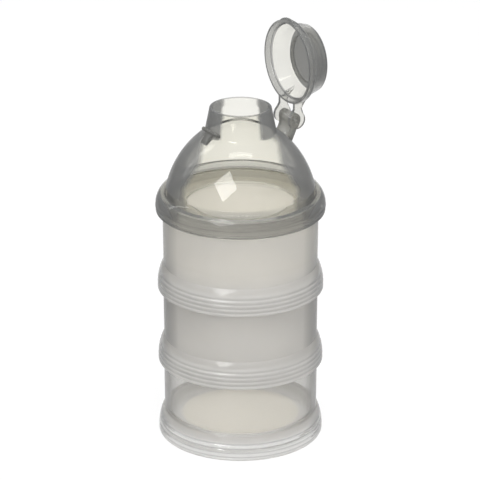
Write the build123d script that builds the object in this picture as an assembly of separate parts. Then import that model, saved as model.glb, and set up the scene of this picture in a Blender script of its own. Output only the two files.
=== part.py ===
from build123d import *
import os
from math import acos, asin, atan2, cos, degrees, hypot, radians, sin, sqrt

# Stackable milk-powder dispenser: three identical screw-together cups with seal rings, a domed pouring
# lid with a spout, and a flip cap on the spout. Millimetres, +Z up, origin at the centre of the bottom
# cup's foot. The flip cap's hinge is on the +X side, and the cap stands open at a right angle.

# ---- driving dimensions ------------------------------------------------------------------------
# cups
BODY_R = 36.0            # outside radius of a cup's wall at its foot
CUP_DRAFT = 0.2          # how much wider the wall is at the top
STACK_PITCH = 36.5       # height each cup adds to the stack
INSIDE_R = 34.6
FLOOR_TOP = 7.8          # height of the floor's upper face above the foot
FLOOR_WALL = 1.2
BOWL_R = 6.6             # inside corner radius between wall and floor
SKIRT_R = 38.8           # outside radius of the flared skirt
FLARE_R = 20.3           # radius of the skirt's flare, seen in section
FLARE_Z = 2.5            # height at which the flare starts
BORE_R = 36.7            # inside radius of every skirt
SEAT_Z = 9.4             # roof of the channel above the skirt's thread
NECK_R = 35.4            # threaded neck on top of a cup
NECK_BORE_R = 34.2
NECK_HEIGHT = 8.2        # neck's rim above the stack pitch
SHOULDER_RISE = 0.4      # the wall's top edge above the stack pitch
SHOULDER_SLOPE = 0.8     # height of the slope from there to the neck
STEP_LOW = 1.6           # inside, the bore narrows from this far under the stack pitch
STEP_HIGH = 0.2          # to this far over it
LIP_ROUND_IN = 0.5       # roundings of a cup's edges
LIP_ROUND_OUT = 0.7
WALL_FOOT_ROUND = 0.8
NECK_ROUND = 0.4

# seal rings
SEAL_R = 36.6
SEAL_BORE_R = 34.4
SEAL_THICK = 1.0
SEAL_GAP = 0.05          # between a ring and the roof over it
SEAL_ROUND = 0.25

# threads
LEAD = 3.5
RIDGE_ROOT = 1.5         # axial width of a ridge at the wall
RIDGE_CREST = 0.8
INNER_CREST_R = 35.75    # crest of a skirt's inner ridge
OUTER_CREST_R = 36.45    # crest of a neck's outer ridge
THREAD_START = 2.0       # start of the inner ridge above the lip
INNER_TURNS = 1.4
OUTER_TURNS = 1.05
RIDGE_OFFSET = 1.65      # the neck's ridge lies this far above the skirt's ridge
FADE_DEG = 24.0          # each end of a ridge fades out over this angle
SECTION_DEG = 12.0       # spacing of a ridge's sections
SUNK = 0.1               # share of a ridge's height by which its tips lie under the wall's face

# lid
LID_LIP = 38.3                    # height of the lid's lip above the top cup's foot
RIM_ARC = (29.1, 2.7, 10.43)      # rim: centre radius, centre height above the lip, arc radius
DOME_ARC = (-9.94, 1.18, 45.62)   # dome: the same three numbers
LID_WALL = 1.3
PLUG_R = 33.95                    # lip inside the lid that enters the cup's mouth
PLUG_BORE_R = 32.8
PLUG_FOOT = 2.9                   # its lower edge above the lid's lip
SHELF_BORE_R = 25.3               # flat shelf inside the lip, open in the middle
SHELF_THICK = 1.1
SPOUT_R = 14.2                    # outside radius at the spout's tip
SPOUT_TOP = 50.0
SPOUT_TAPER = 0.2                 # radius gained for each millimetre down the spout
SPOUT_FILLET = 1.4
LID_ROUND = 0.5                   # rounding of the lid's lip, rim crease and spout tip
DOME_FOOT_ROUND = 1.5
PLUG_ROUND = 0.4
MOUTH_R = 12.9                    # straight bore at the spout's tip
MOUTH_LENGTH = 3.0
THROAT_LENGTH = 1.5               # cone between that bore and the spout's inner wall

# hinge and catch, from the spout's axis and the lid's lip
HINGE_X = 26.6
HINGE_Z = 40.4
PIN_R = 1.6
PIN_EDGE = 0.5
PIN_GAP = 0.05           # around the pin in each ear
POST_WIDTH = 10.0
POST_FOOT_IN = (20.4, 32.2)    # the post's foot, inside the dome's wall
POST_FOOT_OUT = (24.6, 28.8)
POST_WAIST = (23.1, 34.6)      # a point on its hollow inner flank
POST_EDGE = 0.5                # rounding along its sides
KNUCKLE_R = 2.7
FLANK_IN_DROP = 1.0            # how far under the pin's axis each flank leaves the knuckle
FLANK_OUT_DROP = 1.4
EAR_R = 4.3
EAR_THICK = 1.6
EAR_GAP = 0.3            # between an ear and the post's side
EAR_ROOT_X = 12.5        # inside the cap's wall
EAR_ROOT_LOW_X = 14.0
EAR_ROOT_HIGH = (14.6, 2.2)    # its distances from the spout's axis and below the cap's top
EAR_NECK = 5.25          # the neck's distance in from the pin's axis
EAR_NECK_RISE = 2.4      # the neck's upper side above the pin's axis
EAR_FLARE = (17.6, 4.6)        # point of the flare: from the spout's axis, and above the pin's axis
EAR_LOW_DEG = 40.0       # where the neck meets the round end, below and above the pin's axis
EAR_HIGH_DEG = 50.0
CATCH_X = 15.8
CATCH_Z = 40.4
CATCH_R = 1.0
CATCH_LENGTH = 14.0
CATCH_ROUND = 0.8        # rounding of the bar's ends
RIB_WIDTH = 5.5
RIB_BACK_X = 12.5        # inside the spout's wall
RIB_HEAD = 0.6           # the rib's top above the bar's axis
RIB_NOSE = (17.2, 39.5)  # where the rib's face turns outwards, and where it ends on the dome
RIB_FOOT = (20.0, 35.5)

# flip cap, as it sits closed on the spout, heights above the lid's lip
CAP_FOOT = 38.9
CAP_TOP = 51.2
CAP_RING_R = 19.6
CAP_RING_HEIGHT = 3.4
CAP_BORE_R = 18.4
CAP_BORE_DEPTH = 2.7
CAP_SHOULDER_R = 18.2
CAP_TOP_R = 15.8
CAP_WALL = 1.0
CAP_STEP = 0.15          # how much thinner the skirt's wall is at its foot
CAP_EDGE_ROUND = 0.5
CAP_RING_ROUND = 0.6
CAP_TOP_ROUND = 1.5
CAP_INSIDE_ROUND = 0.4
CAP_PLUG_ROUND = 0.3
CAP_PLUG_R = 12.5        # plug ring under the cap's ceiling, which enters the spout
CAP_PLUG_TIP_R = 12.2
CAP_PLUG_WALL = 1.0
CAP_PLUG_DEPTH = 1.9
TAB_REACH = 1.3
TAB_HALF_WIDTH = 6.75
TAB_THICK = 1.3
TAB_ROUND = 0.45
CAP_OPEN_DEG = 90.0

SLACK = 0.4              # how far a joined feature is buried in its wall
TINY = 0.01


# ---- helpers -----------------------------------------------------------------------------------
def point_on(arc, angle):
    """Point of an arc (centre r, centre z, radius) at an angle in degrees above the horizontal."""
    return (arc[0] + arc[2] * cos(radians(angle)), arc[1] + arc[2] * sin(radians(angle)))


def at_height(arc, z):
    """Angle at which the arc's outer half reaches height z."""
    return degrees(asin((z - arc[1]) / arc[2]))


def at_radius(arc, r):
    """Angle at which the arc's upper half reaches radius r."""
    return degrees(acos((r - arc[0]) / arc[2]))


def span(arc, start, end):
    return CenterArc((arc[0], arc[1]), arc[2], start, end - start)


def thinner(arc, wall):
    return (arc[0], arc[1], arc[2] - wall)


def meet(arc_a, arc_b):
    """Upper outer crossing point of two arcs."""
    dr, dz = arc_b[0] - arc_a[0], arc_b[1] - arc_a[1]
    gap = hypot(dr, dz)
    along = (gap**2 + arc_a[2] ** 2 - arc_b[2] ** 2) / (2 * gap)
    off = sqrt(arc_a[2] ** 2 - along**2)
    points = [
        (arc_a[0] + (along * dr - s * off * dz) / gap, arc_a[1] + (along * dz + s * off * dr) / gap)
        for s in (1, -1)
    ]
    return max(points, key=lambda p: p[1])


def angle_to(arc, point):
    return degrees(atan2(point[1] - arc[1], point[0] - arc[0]))


def meet_cone(arc, r, z, taper):
    """Upper point where an arc meets the cone that has radius r at height z and widens downwards by taper."""
    k = r + taper * (z - arc[1]) - arc[0]
    a, b, c = 1 + taper**2, -2 * k * taper, k**2 - arc[2] ** 2
    h = (-b + sqrt(b * b - 4 * a * c)) / (2 * a)
    return (arc[0] + k - taper * h, arc[1] + h)


def lathe(edges, corners):
    """Solid of revolution about Z from a closed outline in (radius, height), rounded by {corner: radius}."""
    face = make_face(edges)
    for corner, radius in corners.items():
        vertex = min(face.vertices(), key=lambda v: hypot(v.X - corner[0], v.Y - corner[1]))
        face = fillet(vertex, radius)
    return revolve(Plane.XZ * face, Axis.Z)


def thread(wall_r, crest_r, z_start, turns):
    """A right-hand ridge: a helical bar of trapezium section whose two ends fade into the wall."""
    steps = round(360 * turns / SECTION_DEG)
    height = crest_r - wall_r
    buried = wall_r - SLACK * height / abs(height)
    half_crest = RIDGE_CREST / 2
    half_buried = RIDGE_ROOT / 2 + (RIDGE_ROOT - RIDGE_CREST) / 2 * SLACK / abs(height)
    sections = []
    for i in range(steps + 1):
        turned = 360 * turns * i / steps
        fade = min(1.0, turned / FADE_DEG, (360 * turns - turned) / FADE_DEG)
        crest = wall_r + height * (fade - SUNK * (1 - fade))
        east, north = cos(radians(turned)), sin(radians(turned))
        middle = (0, 0, z_start + LEAD * turned / 360)
        plane = Plane(origin=middle, x_dir=(east, north, 0), z_dir=(north, -east, 0))
        corners = [
            (buried, -half_buried),
            (crest, -half_crest),
            (crest, half_crest),
            (buried, half_buried),
        ]
        sections.append(plane * make_face(Polyline(*corners, close=True)))
    return loft(sections)


# ---- dimensions that follow --------------------------------------------------------------------
FLARE_ARC = (SKIRT_R - FLARE_R, FLARE_Z, FLARE_R)
NECK_TOP = STACK_PITCH + NECK_HEIGHT
SEAL_Z = SEAT_Z - SEAL_GAP - SEAL_THICK                    # a ring's underside above the foot of its cup
LID_Z = 2 * STACK_PITCH + LID_LIP
PIN_LENGTH = POST_WIDTH + 2 * (EAR_GAP + EAR_THICK)
LID_SEAT = 3 * STACK_PITCH + SEAT_Z - LID_Z                # roof of the lid's channel above the lid's lip


# ---- the pieces --------------------------------------------------------------------------------
def cup():
    """One cup, standing on z = 0: bowl-shaped floor, flared threaded skirt below, threaded neck on top."""
    corner = (INSIDE_R - BOWL_R, FLOOR_TOP + BOWL_R)
    bowl_in = (*corner, BOWL_R)
    bowl_out = (*corner, BOWL_R + FLOOR_WALL)
    floor_under = FLOOR_TOP - FLOOR_WALL
    seat_from = at_height(bowl_out, SEAT_Z)
    flare_end = at_radius(FLARE_ARC, BODY_R)
    wall_foot = point_on(FLARE_ARC, flare_end)
    shoulder = (BODY_R + CUP_DRAFT, STACK_PITCH + SHOULDER_RISE)
    neck_foot = (NECK_R, shoulder[1] + SHOULDER_SLOPE)
    step_low = (INSIDE_R, STACK_PITCH - STEP_LOW)
    step_high = (NECK_BORE_R, STACK_PITCH + STEP_HIGH)
    edges = [
        Line((0, floor_under), (corner[0], floor_under)),
        span(bowl_out, -90, seat_from),
        Line(point_on(bowl_out, seat_from), (BORE_R, SEAT_Z)),
        Line((BORE_R, SEAT_Z), (BORE_R, 0)),
        Line((BORE_R, 0), (SKIRT_R, 0)),
        Line((SKIRT_R, 0), (SKIRT_R, FLARE_Z)),
        span(FLARE_ARC, 0, flare_end),
        Line(wall_foot, shoulder),
        Line(shoulder, neck_foot),
        Line(neck_foot, (NECK_R, NECK_TOP)),
        Line((NECK_R, NECK_TOP), (NECK_BORE_R, NECK_TOP)),
        Line((NECK_BORE_R, NECK_TOP), step_high),
        Line(step_high, step_low),
        Line(step_low, (INSIDE_R, corner[1])),
        span(bowl_in, 0, -90),
        Line((corner[0], FLOOR_TOP), (0, FLOOR_TOP)),
        Line((0, FLOOR_TOP), (0, floor_under)),
    ]
    rounded = {
        (BORE_R, 0): LIP_ROUND_IN,
        (SKIRT_R, 0): LIP_ROUND_OUT,
        wall_foot: WALL_FOOT_ROUND,
        shoulder: NECK_ROUND,
        (NECK_R, NECK_TOP): NECK_ROUND,
        (NECK_BORE_R, NECK_TOP): NECK_ROUND,
    }
    body = lathe(edges, rounded)
    body += thread(BORE_R, INNER_CREST_R, THREAD_START, INNER_TURNS)
    body += thread(NECK_R, OUTER_CREST_R, STACK_PITCH + THREAD_START + RIDGE_OFFSET, OUTER_TURNS)
    return body


def seal_ring():
    """Flat ring of soft material that lies in the channel above a skirt's thread."""
    ring = Pos(0, 0, SEAL_Z + SEAL_THICK / 2) * (
        Cylinder(SEAL_R, SEAL_THICK) - Cylinder(SEAL_BORE_R, SEAL_THICK)
    )
    return fillet(ring.edges().filter_by(GeomType.CIRCLE), SEAL_ROUND)


def lid_outside():
    """The lid as if it were filled in: rim, dome and spout."""
    lip_angle = at_height(RIM_ARC, 0)
    joint = meet(RIM_ARC, DOME_ARC)
    neck = meet_cone(DOME_ARC, SPOUT_R, SPOUT_TOP, SPOUT_TAPER)
    lip = point_on(RIM_ARC, lip_angle)
    edges = [
        Line((0, 0), lip),
        span(RIM_ARC, lip_angle, angle_to(RIM_ARC, joint)),
        span(DOME_ARC, angle_to(DOME_ARC, joint), angle_to(DOME_ARC, neck)),
        Line(neck, (SPOUT_R, SPOUT_TOP)),
        Line((SPOUT_R, SPOUT_TOP), (0, SPOUT_TOP)),
        Line((0, SPOUT_TOP), (0, 0)),
    ]
    rounded = {lip: LID_ROUND, joint: LID_ROUND, neck: SPOUT_FILLET, (SPOUT_R, SPOUT_TOP): LID_ROUND}
    return lathe(edges, rounded)


def lid_inside():
    """The hollow of the lid: threaded skirt, channel, plug lip and the way up through the spout."""
    inner_dome = thinner(DOME_ARC, LID_WALL)
    spout_in = SPOUT_R - LID_WALL
    neck = meet_cone(inner_dome, spout_in, SPOUT_TOP, SPOUT_TAPER)
    dome_foot = point_on(inner_dome, at_radius(inner_dome, PLUG_BORE_R))
    shelf_top = PLUG_FOOT + SHELF_THICK
    throat_depth = MOUTH_LENGTH + THROAT_LENGTH
    throat = (spout_in + SPOUT_TAPER * throat_depth, SPOUT_TOP - throat_depth)
    mouth = (MOUTH_R, SPOUT_TOP - MOUTH_LENGTH)
    above = (MOUTH_R, SPOUT_TOP + SLACK)
    edges = [
        Line((0, -SLACK), (BORE_R, -SLACK)),
        Line((BORE_R, -SLACK), (BORE_R, LID_SEAT)),
        Line((BORE_R, LID_SEAT), (PLUG_R, LID_SEAT)),
        Line((PLUG_R, LID_SEAT), (PLUG_R, PLUG_FOOT)),
        Line((PLUG_R, PLUG_FOOT), (SHELF_BORE_R, PLUG_FOOT)),
        Line((SHELF_BORE_R, PLUG_FOOT), (SHELF_BORE_R, shelf_top)),
        Line((SHELF_BORE_R, shelf_top), (PLUG_BORE_R, shelf_top)),
        Line((PLUG_BORE_R, shelf_top), dome_foot),
        span(inner_dome, angle_to(inner_dome, dome_foot), angle_to(inner_dome, neck)),
        Line(neck, throat),
        Line(throat, mouth),
        Line(mouth, above),
        Line(above, (0, above[1])),
        Line((0, above[1]), (0, -SLACK)),
    ]
    rounded = {
        neck: SPOUT_FILLET + LID_WALL,
        dome_foot: DOME_FOOT_ROUND,
        (PLUG_R, PLUG_FOOT): PLUG_ROUND,
        (PLUG_BORE_R, shelf_top): PLUG_ROUND,
    }
    return lathe(edges, rounded)


def slab(outline, width):
    """A plate with an outline in (x, z), centred on y = 0."""
    return extrude(Plane.XZ * outline, amount=width / 2, both=True)


def hinge_post():
    """Leaning post on the dome's shoulder, ending in a knuckle that carries the cross pin."""
    flank_in = (HINGE_X - KNUCKLE_R, HINGE_Z - FLANK_IN_DROP)
    flank_out = (HINGE_X + KNUCKLE_R, HINGE_Z - FLANK_OUT_DROP)
    web = make_face(
        [
            ThreePointArc(POST_FOOT_IN, POST_WAIST, flank_in),
            Line(flank_in, flank_out),
            Line(flank_out, POST_FOOT_OUT),
            Line(POST_FOOT_OUT, POST_FOOT_IN),
        ]
    )
    post = slab(web, POST_WIDTH) + slab(Pos(HINGE_X, HINGE_Z) * Circle(KNUCKLE_R), POST_WIDTH)
    sides = post.edges().filter_by(lambda e: abs(abs(e.center().Y) - POST_WIDTH / 2) < TINY)
    post = fillet(sides, POST_EDGE)
    pin = Pos(HINGE_X, 0, HINGE_Z) * Rot(X=90) * Cylinder(PIN_R, PIN_LENGTH)
    pin = fillet(pin.edges().filter_by(GeomType.CIRCLE), PIN_EDGE)
    return post + pin


def catch():
    """Rib down the front of the spout with a cross bar, which the closed cap's ring passes over."""
    head_z = CATCH_Z + RIB_HEAD
    corners = [
        (-RIB_BACK_X, head_z),
        (-CATCH_X - RIB_HEAD, head_z),
        (-RIB_NOSE[0], RIB_NOSE[1]),
        (-RIB_FOOT[0], RIB_FOOT[1]),
        (-RIB_BACK_X, RIB_FOOT[1]),
    ]
    rib = slab(make_face(Polyline(*corners, close=True)), RIB_WIDTH)
    bar = Pos(-CATCH_X, 0, CATCH_Z) * Rot(X=90) * Cylinder(CATCH_R, CATCH_LENGTH)
    return rib + fillet(bar.edges().filter_by(GeomType.CIRCLE), CATCH_ROUND)


def dome_lid():
    solid = lid_outside() + hinge_post() + catch() - lid_inside()
    solid += thread(BORE_R, INNER_CREST_R, THREAD_START + STACK_PITCH - LID_LIP, INNER_TURNS)
    return Pos(0, 0, LID_Z) * solid


def ear():
    """One hinge ear, drawn in (x, z): a round end on the pin, a narrow neck and a flare up the cap's side."""
    pin = (HINGE_X, HINGE_Z)
    round_end = (*pin, EAR_R)
    root_low = (EAR_ROOT_LOW_X, CAP_FOOT)
    neck_low = (HINGE_X - EAR_NECK, CAP_FOOT)
    end_low = point_on(round_end, 180 + EAR_LOW_DEG)
    end_high = point_on(round_end, 180 - EAR_HIGH_DEG)
    neck_high = (HINGE_X - EAR_NECK, HINGE_Z + EAR_NECK_RISE)
    flare = (EAR_FLARE[0], HINGE_Z + EAR_FLARE[1])
    root_high = (EAR_ROOT_HIGH[0], CAP_TOP - EAR_ROOT_HIGH[1])
    root_inner = (EAR_ROOT_X, root_high[1])
    web = make_face(
        [
            Line(root_low, neck_low),
            Line(neck_low, end_low),
            Line(end_low, pin),
            Line(pin, end_high),
            Line(end_high, neck_high),
            ThreePointArc(neck_high, flare, root_high),
            Line(root_high, root_inner),
            Line(root_inner, root_low),
        ]
    )
    return web + Pos(*pin) * Circle(EAR_R) - Pos(*pin) * Circle(PIN_R + PIN_GAP)


def cap_outside():
    ring_top = CAP_FOOT + CAP_RING_HEIGHT
    edges = [
        Line((0, CAP_FOOT), (CAP_RING_R, CAP_FOOT)),
        Line((CAP_RING_R, CAP_FOOT), (CAP_RING_R, ring_top)),
        Line((CAP_RING_R, ring_top), (CAP_SHOULDER_R, ring_top)),
        Line((CAP_SHOULDER_R, ring_top), (CAP_TOP_R, CAP_TOP)),
        Line((CAP_TOP_R, CAP_TOP), (0, CAP_TOP)),
        Line((0, CAP_TOP), (0, CAP_FOOT)),
    ]
    rounded = {
        (CAP_RING_R, CAP_FOOT): CAP_EDGE_ROUND,
        (CAP_RING_R, ring_top): CAP_RING_ROUND,
        (CAP_SHOULDER_R, ring_top): CAP_EDGE_ROUND,
        (CAP_TOP_R, CAP_TOP): CAP_TOP_ROUND,
    }
    return lathe(edges, rounded)


def cap_inside():
    ceiling = CAP_TOP - CAP_WALL
    step = CAP_FOOT + CAP_BORE_DEPTH
    skirt_low = CAP_SHOULDER_R - CAP_WALL + CAP_STEP
    skirt_high = CAP_TOP_R - CAP_WALL
    plug_foot = ceiling - CAP_PLUG_DEPTH
    plug_in = CAP_PLUG_TIP_R - CAP_PLUG_WALL
    edges = [
        Line((0, CAP_FOOT - SLACK), (CAP_BORE_R, CAP_FOOT - SLACK)),
        Line((CAP_BORE_R, CAP_FOOT - SLACK), (CAP_BORE_R, step)),
        Line((CAP_BORE_R, step), (skirt_low, step)),
        Line((skirt_low, step), (skirt_high, ceiling)),
        Line((skirt_high, ceiling), (CAP_PLUG_R, ceiling)),
        Line((CAP_PLUG_R, ceiling), (CAP_PLUG_TIP_R, plug_foot)),
        Line((CAP_PLUG_TIP_R, plug_foot), (plug_in, plug_foot)),
        Line((plug_in, plug_foot), (plug_in, ceiling)),
        Line((plug_in, ceiling), (0, ceiling)),
        Line((0, ceiling), (0, CAP_FOOT - SLACK)),
    ]
    rounded = {
        (CAP_BORE_R, step): CAP_INSIDE_ROUND,
        (skirt_low, step): CAP_INSIDE_ROUND,
        (skirt_high, ceiling): CAP_EDGE_ROUND,
        (CAP_PLUG_TIP_R, plug_foot): CAP_PLUG_ROUND,
    }
    return lathe(edges, rounded)


def thumb_tab():
    """Crescent lip on the cap's ring, opposite the hinge."""
    chord = sqrt(CAP_RING_R**2 - TAB_HALF_WIDTH**2)
    reach = CAP_RING_R + TAB_REACH
    centre = (reach**2 - chord**2 - TAB_HALF_WIDTH**2) / (2 * (reach - chord))
    disc = Pos(-centre, 0, CAP_FOOT + TAB_THICK / 2) * Cylinder(reach - centre, TAB_THICK)
    return fillet(disc.edges().filter_by(GeomType.CIRCLE), TAB_ROUND)


def flip_cap():
    """The cap, drawn closed on the spout and then swung open on its hinge."""
    plate = Plane.XZ * ear()
    offset = POST_WIDTH / 2 + EAR_GAP
    ears = [extrude(Pos(0, s * offset, 0) * plate, amount=EAR_THICK, dir=(0, s, 0)) for s in (1, -1)]
    closed = cap_outside() + thumb_tab()
    for plate in ears:
        closed += plate
    closed -= cap_inside()
    placed = Pos(0, 0, LID_Z) * closed
    return placed.rotate(Axis((HINGE_X, 0, LID_Z + HINGE_Z), (0, 1, 0)), CAP_OPEN_DEG)


def main():
    os.makedirs("parts", exist_ok=True)
    one_cup = cup()
    one_ring = seal_ring()
    pieces = {"dome_lid": dome_lid(), "flip_cap": flip_cap()}
    for level in range(3):
        pieces[f"container_{level + 1}"] = Pos(0, 0, level * STACK_PITCH) * one_cup
    for level in range(4):
        pieces[f"seal_ring_{level + 1}"] = Pos(0, 0, level * STACK_PITCH) * one_ring
    for name, piece in pieces.items():
        export_step(piece, f"parts/{name}.step")


main()
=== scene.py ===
from math import acos, asin, atan2, cos, degrees, hypot, pi, radians, sin, sqrt

import bmesh
import bpy
from mathutils import Matrix, Vector


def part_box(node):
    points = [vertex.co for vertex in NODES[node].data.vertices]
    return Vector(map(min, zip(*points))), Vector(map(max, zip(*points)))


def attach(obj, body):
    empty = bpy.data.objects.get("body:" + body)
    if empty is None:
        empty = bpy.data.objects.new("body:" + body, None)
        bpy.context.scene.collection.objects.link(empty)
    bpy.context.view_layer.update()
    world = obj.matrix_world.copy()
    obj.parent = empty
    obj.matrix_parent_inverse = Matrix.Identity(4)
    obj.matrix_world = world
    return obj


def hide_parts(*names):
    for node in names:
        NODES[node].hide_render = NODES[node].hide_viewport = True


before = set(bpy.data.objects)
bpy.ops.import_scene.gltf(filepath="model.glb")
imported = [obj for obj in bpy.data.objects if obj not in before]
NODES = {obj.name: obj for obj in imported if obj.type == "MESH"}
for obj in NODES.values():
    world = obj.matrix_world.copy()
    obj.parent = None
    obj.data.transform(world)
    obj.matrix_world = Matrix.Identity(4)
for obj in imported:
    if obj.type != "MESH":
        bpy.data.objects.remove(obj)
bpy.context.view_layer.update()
MM = 0.001

# ---- dimensions, in millimetres, as in the CAD ---------------------------------------------------
STACK_PITCH = 36.5
BODY_R = 36.0
BODY_TOP_R = 36.2
INSIDE_R = 34.6
FLOOR_TOP = 7.8
FLOOR_WALL = 1.2
BOWL_R = 6.6
SKIRT_R = 38.8
FLARE_R = 20.3
FLARE_Z = 2.5
BORE_R = 36.7
SEAT_Z = 9.4
NECK_R = 35.4
NECK_BORE_R = 34.2
NECK_TOP = 44.7
SHOULDER_LIFT = 0.4            # top edge of a body, above the next cup's foot
SHOULDER_RISE = 0.8            # from there to the foot of the neck
NECK_STEP = 0.2                # foot of the neck's inside, above the next cup's foot
NECK_BLEND = 1.6               # top of the body's inside, below it

LEAD = 3.5
RIDGE_ROOT = 1.5
RIDGE_CREST = 0.8
INNER_CREST_R = 35.75
OUTER_CREST_R = 36.45
THREAD_START = 2.0
INNER_TURNS = 1.4
OUTER_TURNS = 1.05
RIDGE_OFFSET = 1.65
FADE_DEG = 24.0

RINGS_START = 0.8              # fine rings in the skirts' outside
RINGS_END = 9.0
RING_PITCH = 2.05
RING_DEPTH = 0.24
RING_STEP = 0.2
RIM_RINGS_START = 0.65         # and in the lower part of the lid's rim
RIM_RINGS_END = 4.75

LID_LIP = 38.3
LID_Z = 2 * STACK_PITCH + LID_LIP
RIM_ARC = (29.1, 2.7, 10.43)
DOME_ARC = (-9.94, 1.18, 45.62)
LID_WALL = 1.3
PLUG_R = 33.95
PLUG_BORE_R = 32.8
PLUG_FOOT = 2.9
SHELF_BORE_R = 25.3
SHELF_THICK = 1.1
SPOUT_R = 14.2
SPOUT_TOP = 50.0
SPOUT_TAPER = 0.2
MOUTH_R = 12.9
MOUTH_LENGTH = 3.0
THROAT_LENGTH = 1.5            # below the mouth, where the spout's inside widens
LID_SEAT = 3 * STACK_PITCH + SEAT_Z - LID_Z

HINGE_X = 26.6
HINGE_Z = 40.4
PIN_R = 1.6
POST_WIDTH = 10.0
KNUCKLE_R = 2.7
KNUCKLE_DROP_IN = 1.0          # where the knuckle's flanks start, below the pin
KNUCKLE_DROP_OUT = 1.4
EAR_THICK = 1.6
EAR_GAP = 0.3
CATCH_X = 15.8
CATCH_Z = 40.4
CATCH_R = 1.0
CATCH_LENGTH = 14.0
RIB_WIDTH = 5.5
RIB_HEAD = 0.6
RIB_NOSE = (17.2, 39.5)
RIB_FOOT = (20.0, 35.5)
POST_FOOT_IN = (20.4, 32.2)
POST_FOOT_OUT = (24.6, 28.8)
POST_WAIST = (23.1, 34.6)
SUNK = 0.7                     # how far joined pieces reach into the lid's wall

EDGE_ROUND = 0.4               # radii of the rounded edges
LIP_ROUND = 0.5
SKIRT_ROUND = 0.7
FLARE_ROUND = 0.8
RIM_JOINT_ROUND = 0.6
SPOUT_FOOT_ROUND = 1.4
SPOUT_FOOT_ROUND_IN = 2.6
DOME_FOOT_ROUND = 1.5
POST_BEVEL = 0.45
PIN_BEVEL = 0.35
RIB_BEVEL = 0.3
BAR_BEVEL = 0.6

# ---- mesh resolution -----------------------------------------------------------------------------
TURN_STEPS = 216               # steps round a full turn
ARC_STEP_DEG = 3.0
FILLET_STEPS = 5
POST_STEPS = 24                # along each flank of the hinge post
KNUCKLE_STEP_DEG = 12
PIN_STEPS = 48
BAR_STEPS = 24
THREAD_STEP = 0.16             # height of the rows in a threaded wall
SHARP_DEG = 50.0
BEVEL_FROM_DEG = 60.0
BEVEL_SEGMENTS = 2
BEVEL_PROFILE = 0.6
ON_AXIS = 0.01                 # a point nearer to the axis than this is a single vertex
ON_WALL = 0.02                 # a point nearer to a threaded wall than this carries its thread
MERGE_WITHIN = 0.002
LEVEL_WITHIN = 0.1             # an edge whose ends differ less in y is on a plate's rim
NEAR_CORNER = 0.95             # of the radius: points this near to a rounded corner are left out


# ---- outlines ------------------------------------------------------------------------------------
# A point is (r, z). An arc is (r, z, radius), with angles in degrees from the outward direction.
def distance(a, b):
    return hypot(a[0] - b[0], a[1] - b[1])


def point_on(arc, angle):
    return (arc[0] + arc[2] * cos(radians(angle)), arc[1] + arc[2] * sin(radians(angle)))


def at_height(arc, z):
    """The angle at which the outer side of an arc reaches a height."""
    return degrees(asin((z - arc[1]) / arc[2]))


def at_radius(arc, r):
    """The angle at which the upper side of an arc reaches a radius."""
    return degrees(acos((r - arc[0]) / arc[2]))


def angle_to(arc, point):
    return degrees(atan2(point[1] - arc[1], point[0] - arc[0]))


def span(arc, start, end):
    """Points along an arc between two angles."""
    steps = max(2, round(abs(end - start) / ARC_STEP_DEG))
    return [point_on(arc, start + (end - start) * i / steps) for i in range(steps + 1)]


def thinner(arc, wall):
    """The inside of a wall whose outside is the arc."""
    return (arc[0], arc[1], arc[2] - wall)


def meet(arc_a, arc_b):
    """The upper point where two arcs cross."""
    dr, dz = arc_b[0] - arc_a[0], arc_b[1] - arc_a[1]
    gap = hypot(dr, dz)
    along = (gap**2 + arc_a[2] ** 2 - arc_b[2] ** 2) / (2 * gap)
    off = sqrt(arc_a[2] ** 2 - along**2)
    points = [
        (arc_a[0] + (along * dr - s * off * dz) / gap, arc_a[1] + (along * dz + s * off * dr) / gap)
        for s in (1, -1)
    ]
    return max(points, key=lambda p: p[1])


def meet_cone(arc, r, z, taper):
    """The point where an arc meets a cone that has radius r at height z and widens downwards."""
    k = r + taper * (z - arc[1]) - arc[0]
    a, b, c = 1 + taper**2, -2 * k * taper, k**2 - arc[2] ** 2
    h = (-b + sqrt(b * b - 4 * a * c)) / (2 * a)
    return (arc[0] + k - taper * h, arc[1] + h)


def rounded(points, corners):
    """The closed outline with the corners nearest to the given points rounded: {point: radius}."""
    out = []
    count = len(points)
    chosen = {}
    for corner, radius in corners.items():
        index = min(range(count), key=lambda i: distance(points[i], corner))
        chosen[index] = radius
    skip = set()
    for index, radius in chosen.items():
        for step in (1, -1):
            j = (index + step) % count
            while distance(points[j], points[index]) < NEAR_CORNER * radius:
                skip.add(j)
                j = (j + step) % count
    for i, point in enumerate(points):
        if i in skip:
            continue
        if i not in chosen:
            out.append(point)
            continue
        before = (i - 1) % count
        while before in skip:
            before = (before - 1) % count
        after = (i + 1) % count
        while after in skip:
            after = (after + 1) % count
        here = Vector(point)
        to_before = (Vector(points[before]) - here).normalized()
        to_after = (Vector(points[after]) - here).normalized()
        half = to_before.angle(to_after) / 2
        reach = chosen[i] / (sin(half) / cos(half))
        start, end = here + to_before * reach, here + to_after * reach
        for k in range(FILLET_STEPS + 1):
            t = k / FILLET_STEPS
            # a rational quadratic through the corner is an exact circular arc
            w = sin(half)
            a, b, c = (1 - t) ** 2, 2 * w * t * (1 - t), t**2
            out.append(tuple((start * a + here * b + end * c) / (a + b + c)))
    return out


def dense(low, high):
    """Rows of a threaded wall between two points."""
    steps = max(2, round(abs(high[1] - low[1]) / THREAD_STEP))
    return [
        (low[0] + (high[0] - low[0]) * i / steps, low[1] + (high[1] - low[1]) * i / steps)
        for i in range(steps + 1)
    ]


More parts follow.
